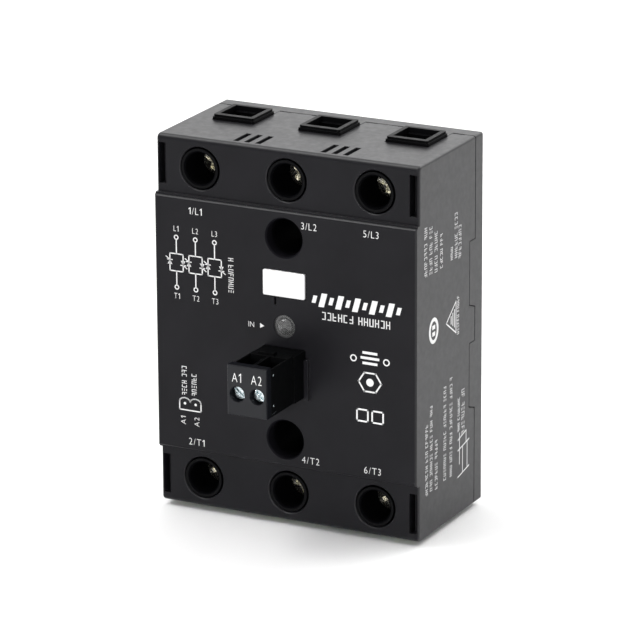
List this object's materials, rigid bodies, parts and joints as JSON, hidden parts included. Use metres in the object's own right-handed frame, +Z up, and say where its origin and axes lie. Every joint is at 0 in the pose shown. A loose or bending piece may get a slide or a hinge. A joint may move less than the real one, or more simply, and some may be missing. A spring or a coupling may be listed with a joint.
{
  "type": "solid state relay",
  "caption": "Upright panel-mount solid state relay with screw clamp terminals above and below, wire collars, two mounting wells and a pull-off control plug.",
  "frame": {"origin": "centre of the back face of the metal base plate, the face that sits on the heat sink", "axes": "+Y out of the back face into the panel, so the front faces -Y; +Z up, towards the line terminals; +X right seen from the front"},
  "size_m": [0.0676, 0.0542, 0.0926],
  "materials": {
    "housing_plastic": "satin moulded, fine grain",
    "block_plastic": "satin moulded",
    "base_metal": "fine brushed, nickel plated",
    "screw_nickel": "bright nickel plated",
    "clamp_steel": "zinc plated",
    "tinned_copper": "tin plated copper",
    "ceramic": "alumina ceramic, matt white",
    "copper": "bare copper",
    "silicon": "dark grey silicon",
    "board_green": "green solder mask",
    "chip_black": "matt moulded",
    "capacitor_case": "yellow moulded case",
    "resistor_case": "grey green lacquer",
    "varistor_coat": "blue epoxy",
    "led_clear": "green epoxy",
    "lens_clear": "smoky clear, polished",
    "tag_white": "white, matt",
    "connector_plastic": "satin moulded, slightly blue grey"
  },
  "bodies": {
    "base": {"housing": "housing_plastic", "base_frame": "housing_plastic", "well_liners": "housing_plastic", "block_1_l1": "block_plastic", "block_3_l2": "block_plastic", "block_5_l3": "block_plastic", "block_2_t1": "block_plastic", "block_4_t2": "block_plastic", "block_6_t3": "block_plastic", "base_plate": "base_metal", "busbar_1_l1": "tinned_copper", "busbar_3_l2": "tinned_copper", "busbar_5_l3": "tinned_copper", "busbar_2_t1": "tinned_copper", "busbar_4_t2": "tinned_copper", "busbar_6_t3": "tinned_copper", "header_pins": "tinned_copper", "die_clips": "tinned_copper", "gate_pins": "tinned_copper", "ceramic_substrates": "ceramic", "copper_pads": "copper", "thyristor_dies": "silicon", "control_board": "board_green", "optocouplers": "chip_black", "input_regulator": "chip_black", "snubber_capacitors": "capacitor_case", "snubber_resistors": "resistor_case", "varistors": "varistor_coat", "status_led": "led_clear", "status_lens": "lens_clear", "input_header": "connector_plastic"},
    "screw_1_l1_turns": {"screw_1_l1": "screw_nickel"},
    "cage_1_l1_rises": {"cage_1_l1": "clamp_steel"},
    "screw_3_l2_turns": {"screw_3_l2": "screw_nickel"},
    "cage_3_l2_rises": {"cage_3_l2": "clamp_steel"},
    "screw_5_l3_turns": {"screw_5_l3": "screw_nickel"},
    "cage_5_l3_rises": {"cage_5_l3": "clamp_steel"},
    "screw_2_t1_turns": {"screw_2_t1": "screw_nickel"},
    "cage_2_t1_rises": {"cage_2_t1": "clamp_steel"},
    "screw_4_t2_turns": {"screw_4_t2": "screw_nickel"},
    "cage_4_t2_rises": {"cage_4_t2": "clamp_steel"},
    "screw_6_t3_turns": {"screw_6_t3": "screw_nickel"},
    "cage_6_t3_rises": {"cage_6_t3": "clamp_steel"},
    "plug": {"plug_body": "connector_plastic", "plug_cover": "connector_plastic", "plug_contacts": "tinned_copper"},
    "plug_screw_a1_turns": {"plug_screw_a1": "screw_nickel"},
    "plug_cage_a1_rises": {"plug_cage_a1": "clamp_steel"},
    "plug_screw_a2_turns": {"plug_screw_a2": "screw_nickel"},
    "plug_cage_a2_rises": {"plug_cage_a2": "clamp_steel"},
    "tag": {"marker_tag": "tag_white"}
  },
  "joints": [
    {"name": "turn_1_l1", "type": "hinge", "parent": "base", "child": "screw_1_l1_turns", "pos_m": [-0.0225, -0.0265, 0.0378], "axis": [0, 1, 0], "range_deg": [0, 2070]},
    {"name": "clamp_1_l1", "type": "slide", "parent": "base", "child": "cage_1_l1_rises", "axis": [0, -1, 0], "range_m": [0, 0.0046]},
    {"name": "turn_3_l2", "type": "hinge", "parent": "base", "child": "screw_3_l2_turns", "pos_m": [0, -0.0265, 0.0378], "axis": [0, 1, 0], "range_deg": [0, 2070]},
    {"name": "clamp_3_l2", "type": "slide", "parent": "base", "child": "cage_3_l2_rises", "axis": [0, -1, 0], "range_m": [0, 0.0046]},
    {"name": "turn_5_l3", "type": "hinge", "parent": "base", "child": "screw_5_l3_turns", "pos_m": [0.0225, -0.0265, 0.0378], "axis": [0, 1, 0], "range_deg": [0, 2070]},
    {"name": "clamp_5_l3", "type": "slide", "parent": "base", "child": "cage_5_l3_rises", "axis": [0, -1, 0], "range_m": [0, 0.0046]},
    {"name": "turn_2_t1", "type": "hinge", "parent": "base", "child": "screw_2_t1_turns", "pos_m": [-0.0225, -0.0265, -0.0378], "axis": [0, 1, 0], "range_deg": [0, 2070]},
    {"name": "clamp_2_t1", "type": "slide", "parent": "base", "child": "cage_2_t1_rises", "axis": [0, -1, 0], "range_m": [0, 0.0046]},
    {"name": "turn_4_t2", "type": "hinge", "parent": "base", "child": "screw_4_t2_turns", "pos_m": [0, -0.0265, -0.0378], "axis": [0, 1, 0], "range_deg": [0, 2070]},
    {"name": "clamp_4_t2", "type": "slide", "parent": "base", "child": "cage_4_t2_rises", "axis": [0, -1, 0], "range_m": [0, 0.0046]},
    {"name": "turn_6_t3", "type": "hinge", "parent": "base", "child": "screw_6_t3_turns", "pos_m": [0.0225, -0.0265, -0.0378], "axis": [0, 1, 0], "range_deg": [0, 2070]},
    {"name": "clamp_6_t3", "type": "slide", "parent": "base", "child": "cage_6_t3_rises", "axis": [0, -1, 0], "range_m": [0, 0.0046]},
    {"name": "plug_pull", "type": "slide", "parent": "base", "child": "plug", "axis": [0, -1, 0], "range_m": [0, 0.01]},
    {"name": "turn_a1", "type": "hinge", "parent": "plug", "child": "plug_screw_a1_turns", "pos_m": [-0.00254, -0.0535, -0.008], "axis": [0, 1, 0], "range_deg": [0, 1620]},
    {"name": "clamp_a1", "type": "slide", "parent": "plug", "child": "plug_cage_a1_rises", "axis": [0, -1, 0], "range_m": [0, 0.00202]},
    {"name": "turn_a2", "type": "hinge", "parent": "plug", "child": "plug_screw_a2_turns", "pos_m": [0.00254, -0.0535, -0.008], "axis": [0, 1, 0], "range_deg": [0, 1620]},
    {"name": "clamp_a2", "type": "slide", "parent": "plug", "child": "plug_cage_a2_rises", "axis": [0, -1, 0], "range_m": [0, 0.00202]},
    {"name": "tag_pull", "type": "slide", "parent": "base", "child": "tag", "axis": [0, -1, 0], "range_m": [0, 0.004]}
  ],
  "couplings": [
    {"joint": "turn_1_l1", "follows": "clamp_1_l1", "rad_per_m": 7853.9},
    {"joint": "turn_3_l2", "follows": "clamp_3_l2", "rad_per_m": 7853.9},
    {"joint": "turn_5_l3", "follows": "clamp_5_l3", "rad_per_m": 7853.9},
    {"joint": "turn_2_t1", "follows": "clamp_2_t1", "rad_per_m": 7853.9},
    {"joint": "turn_4_t2", "follows": "clamp_4_t2", "rad_per_m": 7853.9},
    {"joint": "turn_6_t3", "follows": "clamp_6_t3", "rad_per_m": 7853.9},
    {"joint": "turn_a1", "follows": "clamp_a1", "rad_per_m": 13963},
    {"joint": "turn_a2", "follows": "clamp_a2", "rad_per_m": 13963}
  ]
}
